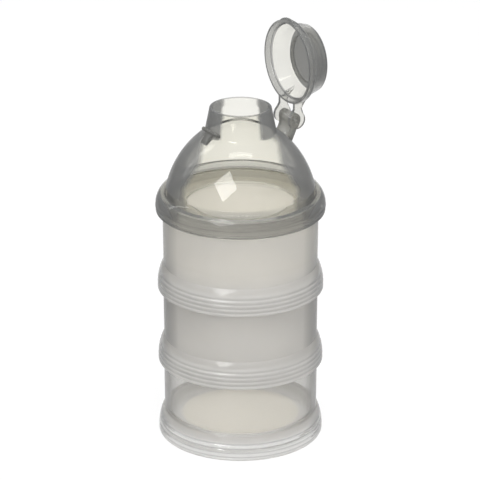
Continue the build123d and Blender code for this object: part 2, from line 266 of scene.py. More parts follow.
# ---- meshes --------------------------------------------------------------------------------------
class Thread:
    """A right-hand ridge on a wall of the given radius, from a start height over some turns."""

    def __init__(self, wall_r, crest_r, start, turns):
        self.wall_r, self.crest_r, self.start, self.turns = wall_r, crest_r, start, turns

    def lift(self, r, z, degrees_round):
        """How far the ridge raises a point of the wall."""
        if abs(r - self.wall_r) > ON_WALL:
            return 0.0
        best = 0.0
        for lap in range(int(self.turns) + 2):
            turned = degrees_round + 360 * lap
            if not 0 <= turned <= 360 * self.turns:
                continue
            away = abs(z - self.start - LEAD * turned / 360)
            slope = (RIDGE_ROOT / 2 - away) / ((RIDGE_ROOT - RIDGE_CREST) / 2)
            fade = min(1.0, turned / FADE_DEG, (360 * self.turns - turned) / FADE_DEG)
            best = max(best, min(1.0, max(0.0, slope)) * fade)
        return best * (self.crest_r - self.wall_r)


def shade_smooth(bm):
    """Smooth faces, with the sharp edges between them kept."""
    for edge in bm.edges:
        edge.smooth = edge.calc_face_angle(0.0) <= radians(SHARP_DEG)
    for face in bm.faces:
        face.smooth = True


def mesh_object(name, bm):
    if bm.calc_volume(signed=True) < 0:
        bmesh.ops.reverse_faces(bm, faces=bm.faces[:])
    shade_smooth(bm)
    mesh = bpy.data.meshes.new(name)
    bm.to_mesh(mesh)
    bm.free()
    obj = bpy.data.objects.new(name, mesh)
    bpy.context.scene.collection.objects.link(obj)
    return obj


def lathe(name, outline, z0, threads):
    """A closed outline in millimetres turned about Z, with threads on its straight walls."""
    bm = bmesh.new()
    rings = []
    for r, z in outline:
        if r < ON_AXIS:
            rings.append([bm.verts.new((0, 0, (z + z0) * MM))])
            continue
        ring = []
        for k in range(TURN_STEPS):
            angle = 360 * k / TURN_STEPS
            radius = r + sum(t.lift(r, z, angle) for t in threads)
            x, y = radius * cos(radians(angle)) * MM, radius * sin(radians(angle)) * MM
            ring.append(bm.verts.new((x, y, (z + z0) * MM)))
        rings.append(ring)
    for i in range(len(rings)):
        low, high = rings[i], rings[(i + 1) % len(rings)]
        if len(low) == 1 and len(high) == 1:
            continue
        for k in range(TURN_STEPS):
            n = (k + 1) % TURN_STEPS
            if len(low) == 1:
                bm.faces.new((low[0], high[n], high[k]))
            elif len(high) == 1:
                bm.faces.new((low[k], low[n], high[0]))
            else:
                bm.faces.new((low[k], low[n], high[n], high[k]))
    bmesh.ops.recalc_face_normals(bm, faces=bm.faces[:])
    return mesh_object(name, bm)


def prism(name, outline, y_low, y_high, bevel):
    """A plate with a closed outline of (x, z) in millimetres between two y, in the second material."""
    bm = bmesh.new()
    ring = [bm.verts.new((x * MM, y_low * MM, z * MM)) for x, z in outline]
    for i in range(len(ring)):
        bm.edges.new((ring[i - 1], ring[i]))
    filled = bmesh.ops.triangle_fill(bm, use_beauty=True, use_dissolve=False, edges=bm.edges[:])
    caps = [g for g in filled["geom"] if isinstance(g, bmesh.types.BMFace)]
    grown = bmesh.ops.extrude_face_region(bm, geom=caps, use_keep_orig=True)["geom"]
    raised = [g for g in grown if isinstance(g, bmesh.types.BMVert)]
    bmesh.ops.translate(bm, verts=raised, vec=(0, (y_high - y_low) * MM, 0))
    bmesh.ops.recalc_face_normals(bm, faces=bm.faces[:])
    rim = [e for e in bm.edges if e.calc_face_angle(0.0) > radians(BEVEL_FROM_DEG)]
    rim = [e for e in rim if abs(e.verts[0].co.y - e.verts[1].co.y) < LEVEL_WITHIN * MM]
    bmesh.ops.bevel(
        bm, geom=rim, offset=bevel * MM, segments=BEVEL_SEGMENTS, affect="EDGES", profile=BEVEL_PROFILE
    )
    bmesh.ops.triangulate(bm, faces=[face for face in bm.faces if len(face.verts) > 4])
    for face in bm.faces:
        face.material_index = 1
    return mesh_object(name, bm)


def disc_outline(x, z, r, steps):
    return [(x + r * cos(2 * pi * i / steps), z + r * sin(2 * pi * i / steps)) for i in range(steps)]


def combine(base, tools):
    """Base joined with the tools, which are removed."""
    for tool in tools:
        for material in base.data.materials:
            tool.data.materials.append(material)
        modifier = base.modifiers.new("combine", "BOOLEAN")
        modifier.operation = "UNION"
        modifier.solver = "EXACT"
        modifier.object = tool
        evaluated = base.evaluated_get(bpy.context.evaluated_depsgraph_get())
        mesh = bpy.data.meshes.new_from_object(evaluated)
        base.modifiers.clear()
        base.data = mesh
        bpy.data.objects.remove(tool)
    bm = bmesh.new()
    bm.from_mesh(base.data)
    bmesh.ops.remove_doubles(bm, verts=bm.verts[:], dist=MERGE_WITHIN * MM)
    shade_smooth(bm)
    bm.to_mesh(base.data)
    bm.free()
    return base


# ---- the pieces ----------------------------------------------------------------------------------
def ringed(arc, straight_to, start, end):
    """The outside of a skirt or rim between two heights, with fine rings pressed into it.
    It is straight up to one height, and follows the arc above."""
    side = []
    steps = round((end - start) / RING_STEP)
    for i in range(steps + 1):
        z = start + (end - start) * i / steps
        r = point_on(arc, at_height(arc, max(z, straight_to)))[0]
        wave = (1 - cos(2 * pi * (z - start) / RING_PITCH)) / 2
        side.append((r - RING_DEPTH * wave, z))
    return side


def cup(name, z0):
    """Bowl-shaped floor, flared skirt with an inside thread, straight body and threaded neck."""
    corner = (INSIDE_R - BOWL_R, FLOOR_TOP + BOWL_R)
    bowl_in = (*corner, BOWL_R)
    bowl_out = (*corner, BOWL_R + FLOOR_WALL)
    flare = (SKIRT_R - FLARE_R, FLARE_Z, FLARE_R)
    under = FLOOR_TOP - FLOOR_WALL
    seat_from = at_height(bowl_out, SEAT_Z)
    flare_end = at_radius(flare, BODY_R)
    shoulder = (BODY_TOP_R, STACK_PITCH + SHOULDER_LIFT)
    neck_foot = (NECK_R, shoulder[1] + SHOULDER_RISE)
    outline = [(0, under), (corner[0] / 2, under)]
    outline += span(bowl_out, -90, seat_from)
    outline += dense((BORE_R, SEAT_Z), (BORE_R, 0))
    outline += [(SKIRT_R, 0)]
    outline += ringed(flare, FLARE_Z, RINGS_START, RINGS_END)
    outline += span(flare, at_height(flare, RINGS_END), flare_end)[1:]
    outline += [shoulder]
    outline += dense(neck_foot, (NECK_R, NECK_TOP))
    outline += [(NECK_BORE_R, NECK_TOP), (NECK_BORE_R, STACK_PITCH + NECK_STEP)]
    outline += [(INSIDE_R, STACK_PITCH - NECK_BLEND)]
    outline += span(bowl_in, 0, -90)
    outline += [(corner[0] / 2, FLOOR_TOP), (0, FLOOR_TOP)]
    corners = {
        (BORE_R, 0): LIP_ROUND,
        (SKIRT_R, 0): SKIRT_ROUND,
        point_on(flare, flare_end): FLARE_ROUND,
        shoulder: EDGE_ROUND,
        (NECK_R, NECK_TOP): EDGE_ROUND,
        (NECK_BORE_R, NECK_TOP): EDGE_ROUND,
    }
    threads = (
        Thread(BORE_R, INNER_CREST_R, THREAD_START, INNER_TURNS),
        Thread(NECK_R, OUTER_CREST_R, STACK_PITCH + THREAD_START + RIDGE_OFFSET, OUTER_TURNS),
    )
    return lathe(name, rounded(outline, corners), z0, threads)


def lid_shell(name):
    """Rim, dome and spout as one turned shell."""
    lip_angle = at_height(RIM_ARC, 0)
    lip = point_on(RIM_ARC, lip_angle)
    joint = meet(RIM_ARC, DOME_ARC)
    neck = meet_cone(DOME_ARC, SPOUT_R, SPOUT_TOP, SPOUT_TAPER)
    inner_dome = thinner(DOME_ARC, LID_WALL)
    spout_in = SPOUT_R - LID_WALL
    inner_neck = meet_cone(inner_dome, spout_in, SPOUT_TOP, SPOUT_TAPER)
    foot = point_on(inner_dome, at_radius(inner_dome, PLUG_BORE_R))
    throat_depth = MOUTH_LENGTH + THROAT_LENGTH
    throat = (spout_in + SPOUT_TAPER * throat_depth, SPOUT_TOP - throat_depth)
    outline = [(BORE_R, 0), lip]
    outline += ringed(RIM_ARC, -RIM_ARC[2], RIM_RINGS_START, RIM_RINGS_END)
    outline += span(RIM_ARC, at_height(RIM_ARC, RIM_RINGS_END), angle_to(RIM_ARC, joint))[1:]
    outline += span(DOME_ARC, angle_to(DOME_ARC, joint), angle_to(DOME_ARC, neck))[1:]
    outline += [(SPOUT_R, SPOUT_TOP), (MOUTH_R, SPOUT_TOP), (MOUTH_R, SPOUT_TOP - MOUTH_LENGTH), throat]
    outline += span(inner_dome, angle_to(inner_dome, inner_neck), angle_to(inner_dome, foot))
    shelf_top = PLUG_FOOT + SHELF_THICK
    outline += [(PLUG_BORE_R, shelf_top), (SHELF_BORE_R, shelf_top), (SHELF_BORE_R, PLUG_FOOT)]
    outline += [(PLUG_R, PLUG_FOOT), (PLUG_R, LID_SEAT)]
    outline += dense((BORE_R, LID_SEAT), (BORE_R, 0))[:-1]
    corners = {
        lip: LIP_ROUND,
        joint: RIM_JOINT_ROUND,
        neck: SPOUT_FOOT_ROUND,
        (SPOUT_R, SPOUT_TOP): LIP_ROUND,
        inner_neck: SPOUT_FOOT_ROUND_IN,
        foot: DOME_FOOT_ROUND,
        (PLUG_R, PLUG_FOOT): EDGE_ROUND,
        (PLUG_BORE_R, shelf_top): EDGE_ROUND,
    }
    thread = Thread(BORE_R, INNER_CREST_R, THREAD_START + STACK_PITCH - LID_LIP, INNER_TURNS)
    return lathe(name, rounded(outline, corners), LID_Z, (thread,))


def curve(start, middle, end, steps):
    """Points of the circular arc through three points."""
    (ax, az), (bx, bz), (cx, cz) = start, middle, end
    d = 2 * (ax * (bz - cz) + bx * (cz - az) + cx * (az - bz))
    ux = ((ax**2 + az**2) * (bz - cz) + (bx**2 + bz**2) * (cz - az) + (cx**2 + cz**2) * (az - bz)) / d
    uz = ((ax**2 + az**2) * (cx - bx) + (bx**2 + bz**2) * (ax - cx) + (cx**2 + cz**2) * (bx - ax)) / d
    radius = hypot(ax - ux, az - uz)
    first, mid, last = (atan2(p[1] - uz, p[0] - ux) for p in (start, middle, end))
    sweep = (last - first) % (2 * pi)
    if (mid - first) % (2 * pi) > sweep:
        sweep -= 2 * pi
    return [
        (ux + radius * cos(first + sweep * i / steps), uz + radius * sin(first + sweep * i / steps))
        for i in range(steps + 1)
    ]


def lifted(points, z0):
    return [(x, z + z0) for x, z in points]


def lid(name):
    """The lid's shell joined with the hinge post and its pin, and the front rib and its bar."""
    shell = lid_shell(name)
    paint(shell, CLEAR, CLEAR_SOLID)
    buried = thinner(DOME_ARC, SUNK)

    def outside(points):
        return [p for p in points if distance(p, buried) > buried[2]]

    flank_in = (HINGE_X - KNUCKLE_R, HINGE_Z - KNUCKLE_DROP_IN)
    flank_out = Vector((HINGE_X + KNUCKLE_R, HINGE_Z - KNUCKLE_DROP_OUT))
    knuckle = (HINGE_X, HINGE_Z, KNUCKLE_R)
    web = outside(curve(POST_FOOT_IN, POST_WAIST, flank_in, POST_STEPS))
    web += [point_on(knuckle, a) for a in range(180, -1, -KNUCKLE_STEP_DEG)]
    down = [i / POST_STEPS for i in range(POST_STEPS + 1)]
    web += outside([tuple(flank_out.lerp(Vector(POST_FOOT_OUT), share)) for share in down])
    web += span(buried, angle_to(buried, web[-1]), angle_to(buried, web[0]))[1:-1]
    half = POST_WIDTH / 2
    post = prism("post", lifted(web, LID_Z), -half, half, POST_BEVEL)
    reach = half + EAR_GAP + EAR_THICK
    pin_outline = disc_outline(HINGE_X, HINGE_Z + LID_Z, PIN_R, PIN_STEPS)
    pin = prism("pin", pin_outline, -reach, reach, PIN_BEVEL)
    head = CATCH_Z + RIB_HEAD
    spout_r = SPOUT_R + SPOUT_TAPER * (SPOUT_TOP - head)
    neck = meet_cone(DOME_ARC, SPOUT_R, SPOUT_TOP, SPOUT_TAPER)
    rib = [(spout_r - SUNK, head), (CATCH_X + RIB_HEAD, head), RIB_NOSE, RIB_FOOT]
    rib += span(buried, at_height(buried, RIB_FOOT[1] - SUNK / 2), at_height(buried, neck[1]))
    rib = lifted([(-r, z) for r, z in rib], LID_Z)
    rib = prism("rib", rib, -RIB_WIDTH / 2, RIB_WIDTH / 2, RIB_BEVEL)
    bar = disc_outline(-CATCH_X, CATCH_Z + LID_Z, CATCH_R, BAR_STEPS)
    bar = prism("bar", bar, -CATCH_LENGTH / 2, CATCH_LENGTH / 2, BAR_BEVEL)
    return combine(shell, [post, pin, rib, bar])


# ---- looks; a pair of heights or radii, in millimetres, is where a mask fades --------------------
# Distances on their own are in metres.
CAMERA_AZIMUTH = -32.0
CAMERA_ELEVATION = 21.98
CAMERA_DISTANCE = 1.257
LENS = 202.4
SENSOR = 36.0
SHIFT_X = -0.0011
CLIP_END = 50.0
LOOK_AT = Vector((0, 0, 0.09557))
LIGHT_DISTANCE = 1.3
LIGHT_TONE = (1.0, 1.0, 0.995)
MAX_BOUNCES = 28

FLOOR_HALF = 6.0
FLOOR_CELLS = 4
FLOOR_TONES = ((0.93, 0.93, 0.93), (0.95, 0.95, 0.95))
GLOW_SHARE = 0.9               # of the floor's surface, the rest is matte
SWEEP_HALF = 0.16              # half width of the floor's bright band behind the object
SWEEP_END = 0.6
SWEEP_SIDE = 0.45              # its brightness to the sides
UNDER_SHADE = 0.9              # how much of the glow is left under the object
FLOOR_BOUNCE = 0.5             # how much of the floor's glow lights matte surfaces
WORLD_SIDE = (0.15, 0.85)      # how far to the side the surroundings turn greyer
WORLD_LIGHT = (0.95, 0.45)

CLEAR_TONES = ((0.965, 0.955, 0.90), (0.975, 0.965, 0.91))
CLEAR_LIGHT = (0.92, 0.915, 0.90)       # what the clear plastic lets through of a lamp's light
CLEAR_ABSORB = (32, 32, 33)
CLEAR_COAT = 0.5
CLEAR_ROUGH = (0.045, 0.075)
LID_IOR = 1.10                 # low, so that thin walls don't guide light round their bends
CAP_IOR = 1.38
# grey tones of the painted shade laid over the clear plastic, and over its solid pieces
SHADE_GREYS = ((0.25, 0.255, 0.26), (0.29, 0.295, 0.30))
SOLID_SHADE_GREYS = ((0.31, 0.31, 0.29), (0.36, 0.36, 0.34))
DOME_SIDE = (0.61, 0.69)       # how far a wall is turned sideways where its painted grey shade thickens
DOME_SIDE_SHADE = (0.02, 0.60)
DOME_SPREAD = (0.10, -0.08)    # the dome's clear front is wider low down and narrower at the top
DOME_SPREAD_HEIGHT = (LID_Z + 17.0, LID_Z + 29.0)
# the same painted side shade, on the spout
SPOUT_SIDE = (0.52, 0.62)
SPOUT_SIDE_SHADE = (0.02, 0.55)
SPOUT_FROM = (LID_Z + 36.0, LID_Z + 38.0)
# painted shade on the lower part of the lid's rim
RIM_SHADE = 0.28
RIM_TO = (LID_Z + 9.0, LID_Z + 12.5)
# painted shade in the bottoms of the rim's rings
RIM_RING_SHADE = 0.55
RIM_OUTSIDE = (BORE_R + 0.5, BORE_R + 0.7)
SHELF_SHARE = 0.3              # of the rim's painted shade, in the shelf inside it
SHELF_EDGE_R = (SHELF_BORE_R + 0.1, SHELF_BORE_R + 0.25)
SHELF_EDGE_Z = (LID_Z + PLUG_FOOT + SHELF_THICK, LID_Z + PLUG_FOOT + SHELF_THICK + 0.2)
PALE_EDGE = (0.95, 0.95, 0.92)
PALE_SHARE = 0.9
LIP_VEIL = 0.5
LIP_FROM = (LID_Z + SPOUT_TOP - 0.4, LID_Z + SPOUT_TOP - 0.1)
SOLID_GREY_AND_SHADE = (0.45, 0.60)      # grey all over and painted shade where the surface turns sideways, in the hinge post, pin, rib and bar

CAP_AXIS_Z = LID_Z + HINGE_Z + HINGE_X
# painted shade where the cap's disc turns sideways
CAP_SIDE = (0.50, 0.80)
CAP_SIDE_SHADE = (0.08, 0.60)
CAP_RING_BORE = 18.3           # just inside the bore of the cap's outer ring
CAP_RING_R = (CAP_RING_BORE - 0.1, CAP_RING_BORE + 0.1)
CAP_RING_FOOT = (-1.05 * CAP_RING_BORE, -1.03 * CAP_RING_BORE)
# painted shade in the cap's outer ring
CAP_RING_SHADE = 0.35
CAP_MOUTH_NEAR = (27.3, 27.5)  # the step inside the mouth of the open cap, along X
CAP_MOUTH_FAR = (28.2, 28.4)
CAP_MOUTH_R = (16.8, 17.0)
# painted shade on that step
CAP_MOUTH_SHADE = 0.6

CUP_IOR = 1.20
CUP_ROUGH = (0.09, 0.12)
CUP_GLOSS = (0.4, 1.0)         # of that roughness, in the bottom cup and in the others
SKIRT_GLOSS = 0.3              # and in the skirts
CUP_ABSORB = (36, 36, 38)
CUP_LIGHT = (0.80, 0.79, 0.77)          # what a cup's wall lets through of a lamp's light
PLAIN_TONES = ((0.855, 0.845, 0.83), (0.885, 0.875, 0.86))
SKIRT_TONE = (0.98, 0.98, 0.975)
CREAM = (0.97, 0.92, 0.81)
CREAM_CLEAR = (1.0, 0.96, 0.86)
BOTTOM_CUP_TO = (STACK_PITCH, STACK_PITCH + 0.2)
SKIRT_TO = (10.5, 12.5)
FLOOR_TO = (27.3, 27.9)        # the flat, creamier part of a cup's floor
INSIDE_TO = (INSIDE_R + 0.4, INSIDE_R + 0.6)
OUTSIDE_FROM = (BORE_R + 0.3, BORE_R + 0.5)
WALL_MILK = (0.25, 0.70)       # milky share of the bottom cup's wall and of the others'
FLOOR_MILK = (0.25, 0.70)      # and of their floors
SKIRT_MILK = 0.9               # of the wall's, in the skirts
SEAT_MILK = 0.6                # round the seal's seat
SEAT_FROM = (SEAT_Z - 3.0, SEAT_Z - 1.0)
SEAT_TO = (SEAT_Z + 2.0, SEAT_Z + 5.0)
LINE_MILK = 0.65               # in the threads and the skirts' lips
THREAD_FROM = (1.3, 1.5)
THREAD_TO = (8.3, 8.6)
THREAD_R_FROM = (NECK_R + 0.1, NECK_R + 0.3)
THREAD_R_TO = (BORE_R - 0.3, BORE_R - 0.1)
SKIRT_LIP_TO = (0.5, 0.8)
SKIRT_LIP_R_FROM = (BORE_R, BORE_R + 0.3)
GROOVE_SHADE = (1.0, 0.35)     # painted shade in the rings of the lowest skirt and of the others
# the grey of that painted shade
GROOVE_SHADE_TONE = (0.52, 0.52, 0.51)
GROOVE_BLUR = 0.1
CUP_SIDE = (0.80, 1.0)         # painted shade: where a cup's wall turns away to the sides, it is painted greyer
# the grey of that painted side shade
CUP_SIDE_SHADE = (0.36, 0.36, 0.36)
EDGE_MILK = 0.55
FLOOR_GLOW = 0.36              # light that fills the lowest floor from the table
MOUTH_GLOW = 0.55              # and the inside of the top cup under the open spout
MOUTH_GLOW_FROM = (84.0, 92.0)
LID_SHADE = (0.70, 0.69, 0.67)          # the outside of the top cup's wall, in the lid's shade
SEAL_IOR = 1.41
SEAL_ROUGH = (0.45, 0.6)
SEAL_TONES = ((0.82, 0.81, 0.78), (0.88, 0.87, 0.84))


def direction(azimuth, elevation):
    """Unit vector from the object towards a place; azimuth 0 is the -Y side, positive towards +X."""
    a, e = radians(azimuth), radians(elevation)
    return Vector((sin(a) * cos(e), -cos(a) * cos(e), sin(e)))


RIGHT = direction(CAMERA_AZIMUTH + 90, 0)


# ---- materials -----------------------------------------------------------------------------------
class Tree:
    """A material's node tree, with short ways to add and join nodes."""

    def __init__(self, name):
        self.material = bpy.data.materials.new(name)
        self.material.use_nodes = True
        self.nodes = self.material.node_tree.nodes
        self.nodes.clear()
        self.output = self.nodes.new("ShaderNodeOutputMaterial")

    def add(self, kind, **values):
        node = self.nodes.new(kind)
        for key, value in values.items():
            if key in node.inputs:
                self.put(node.inputs[key], value)
            else:
                setattr(node, key, value)
        return node

    def put(self, socket, value):
        if isinstance(value, bpy.types.NodeSocket):
            self.material.node_tree.links.new(value, socket)
        elif isinstance(value, tuple) and len(value) == 3 and socket.type == "RGBA":
            socket.default_value = (*value, 1.0)
        else:
            socket.default_value = value

    def noise(self, scale, detail, roughness=0.5):
        where = self.add("ShaderNodeTexCoord").outputs["Object"]
        found = self.add("ShaderNodeTexNoise", Vector=where, Scale=scale, Detail=detail, Roughness=roughness)
        return found.outputs[0]

    def ramp(self, value, low, high, out_low, out_high):
        node = self.add("ShaderNodeMapRange")
        self.put(node.inputs[0], value)
        for i, v in enumerate((low, high, out_low, out_high)):
            node.inputs[i + 1].default_value = v
        return node.outputs[0]

    def fade(self, metres, span_mm, out_low, out_high):
        """From one value to another, as a height or radius runs over a span given in millimetres."""
        low, high = span_mm
        return self.ramp(metres, low * MM, high * MM, out_low, out_high)

    def mix(self, factor, a, b):
        node = self.add("ShaderNodeMix", data_type="RGBA")
        self.put(node.inputs[0], factor)
        self.put(node.inputs[6], a)
        self.put(node.inputs[7], b)
        return node.outputs[2]

    def place(self):
        """X, Y and Z of the point in the piece's own frame, which is the shared one at rest."""
        where = self.add("ShaderNodeTexCoord").outputs["Object"]
        return self.add("ShaderNodeSeparateXYZ", Vector=where).outputs

    def vector(self, operation, *vectors):
        node = self.add("ShaderNodeVectorMath", operation=operation)
        for socket, vector in zip(node.inputs, vectors):
            self.put(socket, vector)
        return node.outputs["Value"]

    def length(self, **parts):
        return self.vector("LENGTH", self.add("ShaderNodeCombineXYZ", **parts).outputs[0])

    def sideways(self):
        """How far the surface is turned to the left or right of the view, from 0 to 1."""
        where = self.add("ShaderNodeNewGeometry")
        turned = self.add(
            "ShaderNodeVectorTransform", vector_type="NORMAL", convert_from="WORLD", convert_to="CAMERA"
        )
        self.put(turned.inputs[0], where.outputs["Normal"])
        across = self.add("ShaderNodeSeparateXYZ", Vector=turned.outputs[0]).outputs["X"]
        return self.math("ABSOLUTE", across)

    def math(self, operation, *values):
        node = self.add("ShaderNodeMath", operation=operation)
        for socket, value in zip(node.inputs, values):
            self.put(socket, value)
        return node.outputs[0]

    def times(self, a, b):
        return self.math("MULTIPLY", a, b)

    def most(self, a, b):
        return self.math("MAXIMUM", a, b)

    def without(self, share):
        """1 where a share is 0, and 0 where it is 1."""
        return self.ramp(share, 0, 1, 1.0, 0.0)

    def blend(self, factor, a, b):
        node = self.add("ShaderNodeMixShader", Fac=factor)
        self.put(node.inputs[1], a.outputs[0])
        self.put(node.inputs[2], b.outputs[0])
        return node

    def let_light_through(self, shader, colour):
        """The shader, with lamps' light passing straight through it in the given colour."""
        path = self.add("ShaderNodeLightPath")
        window = self.add("ShaderNodeBsdfTransparent", Color=colour)
        return self.blend(path.outputs["Is Shadow Ray"], shader, window)

    def absorb(self, per_metre):
        """Absorption in the wall's thickness, per metre of path, for red, green and blue."""
        density = 2.0 * max(per_metre)
        colour = tuple(1 - v / density for v in per_metre)
        node = self.add("ShaderNodeVolumeAbsorption", Color=colour, Density=density)
        self.put(self.output.inputs["Volume"], node.outputs[0])

    def grooves(self, level, start, end):
        """1 in the bottoms of the rings between two heights in millimetres, 0 on their crests."""
        risen = self.math("SUBTRACT", level, start * MM)
        folded = self.math("PINGPONG", risen, RING_PITCH / 2 * MM)
        low = self.fade(folded, (0.25 * RING_PITCH, 0.5 * RING_PITCH), 0.0, 1.0)
        low = self.times(low, self.fade(level, (start - GROOVE_BLUR, start), 0.0, 1.0))
        return self.times(low, self.fade(level, (end, end + GROOVE_BLUR), 1.0, 0.0))

    def bump(self, height, strength, distance):
        return self.add("ShaderNodeBump", Height=height, Strength=strength, Distance=distance).outputs[0]


def frosted_plastic():
    """Milky polypropylene: walls that blur what is behind them, clear glossy skirts, cream floors, with
    painted shade in the skirts' rings, at the sides and under the lid, and a painted glow on the lowest
    floor and inside the top cup.
    """
    t = Tree("frosted_polypropylene")
    place = t.place()
    height = place["Z"]
    level = t.math("MODULO", height, STACK_PITCH * MM)
    out = t.length(X=place["X"], Y=place["Y"])

    def by_cup(bottom, others):
        """One value in the bottom cup and another in the cups above it."""
        return t.fade(height, BOTTOM_CUP_TO, bottom, others)

    skirt = t.fade(level, SKIRT_TO, 1.0, 0.0)
    floor = t.fade(out, FLOOR_TO, 1.0, 0.0)
    inside = t.fade(out, INSIDE_TO, 1.0, 0.0)
    outside = t.fade(out, OUTSIDE_FROM, 0.0, 1.0)
    # painted shade where the wall turns sideways to the camera
    edge = t.ramp(t.sideways(), *CUP_SIDE, 0.0, 1.0)
    grooves = t.times(t.grooves(level, RINGS_START, RINGS_END), outside)
    grooves = t.times(grooves, by_cup(*GROOVE_SHADE))

    cloud = t.noise(scale=28, detail=3)
    plain = t.mix(t.ramp(cloud, 0.3, 0.7, 0, 1), *PLAIN_TONES)
    shaded = t.times(t.without(inside), t.fade(height, MOUTH_GLOW_FROM, 0.0, 1.0))
    plain = t.mix(shaded, plain, LID_SHADE)
    # painted shade in the bottoms of the skirts' rings
    plain = t.mix(grooves, plain, GROOVE_SHADE_TONE)
    tone = t.mix(floor, t.mix(edge, plain, CUP_SIDE_SHADE), CREAM)
    clear_tone = t.mix(floor, t.mix(grooves, SKIRT_TONE, GROOVE_SHADE_TONE), CREAM_CLEAR)
    rough = t.ramp(t.noise(scale=70, detail=4), 0.35, 0.75, *CUP_ROUGH)
    rough = t.times(rough, by_cup(*CUP_GLOSS))
    rough = t.times(rough, t.ramp(skirt, 0, 1, 1.0, SKIRT_GLOSS))
    bump = t.bump(t.noise(scale=900, detail=4), strength=0.04, distance=0.0003)
    clear = t.add(
        "ShaderNodeBsdfPrincipled",
        **{
            "Base Color": clear_tone,
            "Roughness": rough,
            "IOR": CUP_IOR,
            "Transmission Weight": 1.0,
            "Coat Weight": skirt,
            "Coat Roughness": 0.06,
            "Normal": bump,
        },
    )
    body = t.add("ShaderNodeBsdfTranslucent", Color=tone)
    low_glow = t.times(floor, by_cup(FLOOR_GLOW, 0.0))
    mouth_glow = t.times(inside, t.fade(height, MOUTH_GLOW_FROM, 0.0, MOUTH_GLOW))
    face = t.add(
        "ShaderNodeBsdfPrincipled",
        **{
            "Base Color": tone,
            "Roughness": rough,
            "Normal": bump,
            "Emission Color": CREAM,
            "Emission Strength": t.most(low_glow, mouth_glow),
        },
    )
    milky = t.blend(0.5, face, body)

    wall = t.times(by_cup(*WALL_MILK), t.ramp(skirt, 0, 1, 1.0, SKIRT_MILK))
    ridge = t.times(t.fade(out, THREAD_R_FROM, 0.0, 1.0), t.fade(out, THREAD_R_TO, 1.0, 0.0))
    ridge = t.times(ridge, t.fade(level, THREAD_FROM, 0.0, 1.0))
    ridge = t.times(ridge, t.fade(level, THREAD_TO, 1.0, 0.0))
    lip = t.times(t.fade(level, SKIRT_LIP_TO, 1.0, 0.0), t.fade(out, SKIRT_LIP_R_FROM, 0.0, 1.0))
    lines = t.ramp(t.most(ridge, lip), 0, 1, 0.0, LINE_MILK)
    seat = t.times(t.fade(level, SEAT_FROM, 0.0, SEAT_MILK), t.fade(level, SEAT_TO, 1.0, 0.0))
    wall = t.most(t.most(wall, seat), lines)
    share = t.most(wall, t.times(floor, by_cup(*FLOOR_MILK)))
    share = t.most(share, t.ramp(edge, 0, 1, 0.0, EDGE_MILK))
    both = t.blend(share, t.let_light_through(clear, CUP_LIGHT), milky)
    t.put(t.output.inputs["Surface"], both.outputs[0])
    t.absorb(CUP_ABSORB)
    return t.material


def clear_plastic(name, shade_layer_of, shade_greys, ior, pale_of=None):
    """Glossy, faintly grey-tinted plastic. The grey layer over it, of two tones, is mostly painted shade
    that stands in for the dark bands clear plastic shows;
    how thick it lies is made by the first function given, on the tree, and the second, if given, is 1 where
    an edge catches the light."""
    t = Tree(name)
    haze = t.noise(scale=60, detail=4)
    tone = t.mix(haze, *CLEAR_TONES)
    rough = t.ramp(t.noise(scale=300, detail=5, roughness=0.6), 0.4, 0.8, *CLEAR_ROUGH)
    bump = t.bump(haze, strength=0.03, distance=0.0004)
    clear = t.add(
        "ShaderNodeBsdfPrincipled",
        **{
            "Base Color": tone,
            "Roughness": rough,
            "IOR": ior,
            "Transmission Weight": 1.0,
            "Coat Weight": CLEAR_COAT,
            "Coat Roughness": 0.04,
            "Normal": bump,
        },
    )
    lit = t.let_light_through(clear, CLEAR_LIGHT)
    # the grey layer of painted shade, in two tones, as thick as the given function makes it
    shade_grey = t.mix(haze, *shade_greys)
    shade_layer = shade_layer_of(t)
    if pale_of:
        pale = pale_of(t)
        shade_grey = t.mix(pale, shade_grey, PALE_EDGE)
        shade_layer = t.most(shade_layer, t.ramp(pale, 0, 1, 0.0, PALE_SHARE))
    matte = t.add("ShaderNodeBsdfDiffuse", Color=shade_grey)
    through = t.add("ShaderNodeBsdfTranslucent", Color=shade_grey)
    both = t.blend(shade_layer, lit, t.blend(0.5, matte, through))
    t.put(t.output.inputs["Surface"], both.outputs[0])
    t.absorb(CLEAR_ABSORB)
    return t.material


def lid_shade_layer(t):
    """Painted shade where dome and spout turn away to the sides, round the rim and in its rings, and greyer
    on the spout's lip.
    """
    place = t.place()
    height = place["Z"]
    out = t.length(X=place["X"], Y=place["Y"])
    side = t.sideways()
    wider = t.fade(height, DOME_SPREAD_HEIGHT, *DOME_SPREAD)
    dome = t.ramp(t.math("SUBTRACT", side, wider), *DOME_SIDE, *DOME_SIDE_SHADE)
    spout = t.times(t.ramp(side, *SPOUT_SIDE, *SPOUT_SIDE_SHADE), t.fade(height, SPOUT_FROM, 0.0, 1.0))
    rim = t.fade(height, RIM_TO, RIM_SHADE, 0.0)
    rim = t.times(rim, t.fade(out, (PLUG_BORE_R, PLUG_R), SHELF_SHARE, 1.0))
    rings = t.grooves(height, LID_Z + RIM_RINGS_START, LID_Z + RIM_RINGS_END)
    rings = t.times(rings, t.fade(out, RIM_OUTSIDE, 0.0, RIM_RING_SHADE))
    lip = t.fade(height, LIP_FROM, 0.0, LIP_VEIL)
    return t.most(t.most(dome, spout), t.most(t.most(rim, rings), lip))


def shelf_edge(t):
    """1 on the edge of the opening in the lid's shelf, 0 elsewhere."""
    place = t.place()
    out = t.length(X=place["X"], Y=place["Y"])
    return t.times(t.fade(out, SHELF_EDGE_R, 1.0, 0.0), t.fade(place["Z"], SHELF_EDGE_Z, 1.0, 0.0))


def solid_shade_layer(t):
    """Greyer all over, and more so, as painted shade, where the surface turns away to the sides."""
    return t.ramp(t.sideways(), *DOME_SIDE, *SOLID_GREY_AND_SHADE)


